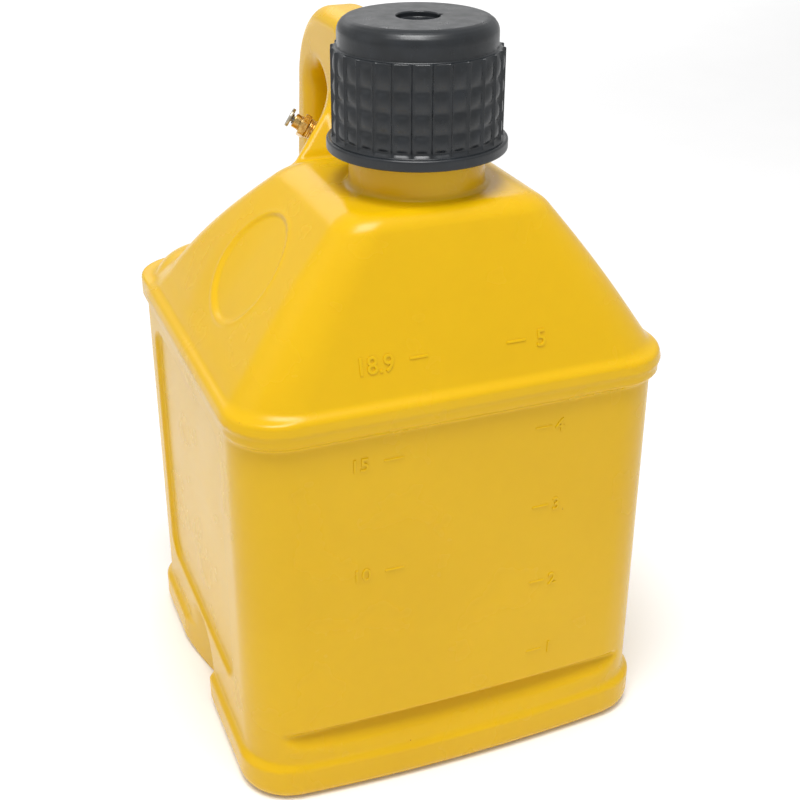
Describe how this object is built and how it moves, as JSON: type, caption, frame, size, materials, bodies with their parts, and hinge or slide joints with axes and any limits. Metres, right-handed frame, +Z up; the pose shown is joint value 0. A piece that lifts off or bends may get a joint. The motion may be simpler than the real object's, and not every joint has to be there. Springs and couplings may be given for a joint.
{
  "type": "jerry can",
  "caption": "Square blow-moulded utility jug with a tapered shoulder, a rear carrying loop, a wide fluted screw cap and a small brass push-button air vent.",
  "frame": {"origin": "centre of the base on the floor, midway between the left and right sides", "axes": "+Z up, +X to the jug's right, front face with the graduations towards -Y, carrying loop towards +Y"},
  "size_m": [0.281, 0.2792, 0.4655],
  "materials": {
    "can_body": "semi-gloss yellow polyethylene with a waxy sheen",
    "cap": "satin charcoal plastic",
    "gasket": "black flat rubber",
    "vent_brass": "machined bright brass",
    "vent_button": "nickel-tinted brass, lightly worn",
    "vent_seal": "black rubber washer",
    "spring_steel": "bright drawn wire"
  },
  "bodies": {
    "jug": {"can_body": "can_body", "vent_body": "vent_brass", "vent_spring": "spring_steel"},
    "cap_carrier": {"cap_gasket": "gasket"},
    "cap": {"screw_cap": "cap"},
    "vent_plunger": {"vent_button": "vent_button", "vent_seal": "vent_seal", "vent_retainer": "vent_brass"}
  },
  "joints": [
    {"name": "cap_lift", "type": "slide", "parent": "jug", "child": "cap_carrier", "axis": [0, 0, 1], "range_m": [0, 0.0321]},
    {"name": "cap_turn", "type": "hinge", "parent": "cap_carrier", "child": "cap", "pos_m": [0, -0.054, 0.43], "axis": [0, 0, 1], "range_deg": [0, 1440]},
    {"name": "vent_press", "type": "slide", "parent": "jug", "child": "vent_plunger", "axis": [0.7703, -0.3852, -0.5082], "range_m": [0, 0.0025], "stiffness_N_per_m": 400, "springref_m": -0.005, "deforming": ["vent_spring"]}
  ],
  "couplings": [
    {"joint": "cap_lift", "follows": "cap_turn", "m_per_rad": 0.0012732}
  ]
}
